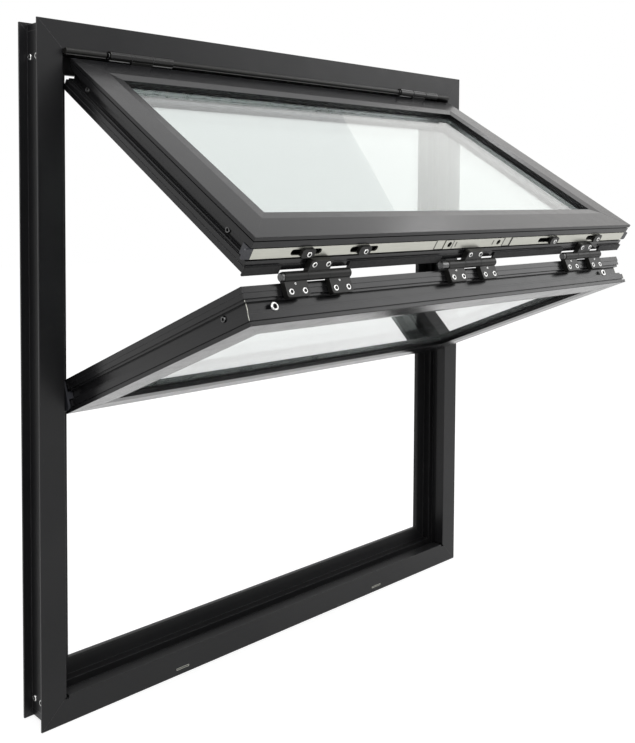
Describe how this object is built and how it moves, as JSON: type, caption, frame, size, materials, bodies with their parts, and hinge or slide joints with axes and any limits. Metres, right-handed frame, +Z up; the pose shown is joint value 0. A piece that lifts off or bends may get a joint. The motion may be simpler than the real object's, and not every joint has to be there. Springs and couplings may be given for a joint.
{
  "type": "bifold window",
  "caption": "Fold-up bifold window: black aluminium frame, an upper sash hinged at the head and a lower sash hinged under it, stored half folded, with double glazing and a sliding lock bar.",
  "frame": {"origin": "on the flat back face of the outer frame, at the middle of its bottom edge", "axes": "+X along the sill to the right as seen from outside, +Y into the wall, +Z up; the sashes fold out towards -Y"},
  "size_m": [0.95, 0.4548, 1],
  "materials": {
    "frame_black": "satin powder coat",
    "sash_black": "satin powder coat",
    "hinge_black": "satin black coating",
    "seal_rubber": "matt",
    "clear_glass": "clear",
    "spacer_aluminium": "mill, perforated",
    "gear_aluminium": "satin anodised",
    "fixing_steel": "bright stainless",
    "gear_plastic": "moulded"
  },
  "bodies": {
    "root": {"frame_head": "frame_black", "frame_jamb_left": "frame_black", "frame_jamb_right": "frame_black", "frame_seals": "seal_rubber", "frame_sill": "frame_black", "head_cover_strip": "hinge_black", "head_hinge_left_frame_leaf": "hinge_black", "head_hinge_left_pin": "fixing_steel", "head_hinge_left_sash_leaf": "hinge_black", "head_hinge_right_frame_leaf": "hinge_black", "head_hinge_right_pin": "fixing_steel", "head_hinge_right_sash_leaf": "hinge_black", "lock_bars": "gear_aluminium", "lock_box": "gear_aluminium", "lock_cams": "hinge_black", "lock_corner_pieces": "gear_plastic", "lower_bottom_rail": "sash_black", "lower_glazing_beads": "sash_black", "lower_glazing_gaskets": "seal_rubber", "lower_inner_pane": "clear_glass", "lower_left_stile": "sash_black", "lower_outer_pane": "clear_glass", "lower_right_stile": "sash_black", "lower_spacer_bar": "spacer_aluminium", "lower_top_rail": "sash_black", "meeting_seals": "seal_rubber", "mid_hinge_centre_lower_leaf": "hinge_black", "mid_hinge_centre_pin": "fixing_steel", "mid_hinge_centre_upper_leaf": "hinge_black", "mid_hinge_left_lower_leaf": "hinge_black", "mid_hinge_left_pin": "fixing_steel", "mid_hinge_left_upper_leaf": "hinge_black", "mid_hinge_right_lower_leaf": "hinge_black", "mid_hinge_right_pin": "fixing_steel", "mid_hinge_right_upper_leaf": "hinge_black", "sash_guides": "gear_plastic", "upper_bottom_rail": "sash_black", "upper_glazing_beads": "sash_black", "upper_glazing_gaskets": "seal_rubber", "upper_inner_pane": "clear_glass", "upper_left_stile": "sash_black", "upper_outer_pane": "clear_glass", "upper_right_stile": "sash_black", "upper_spacer_bar": "spacer_aluminium", "upper_top_rail": "sash_black"}
  },
  "joints": []
}
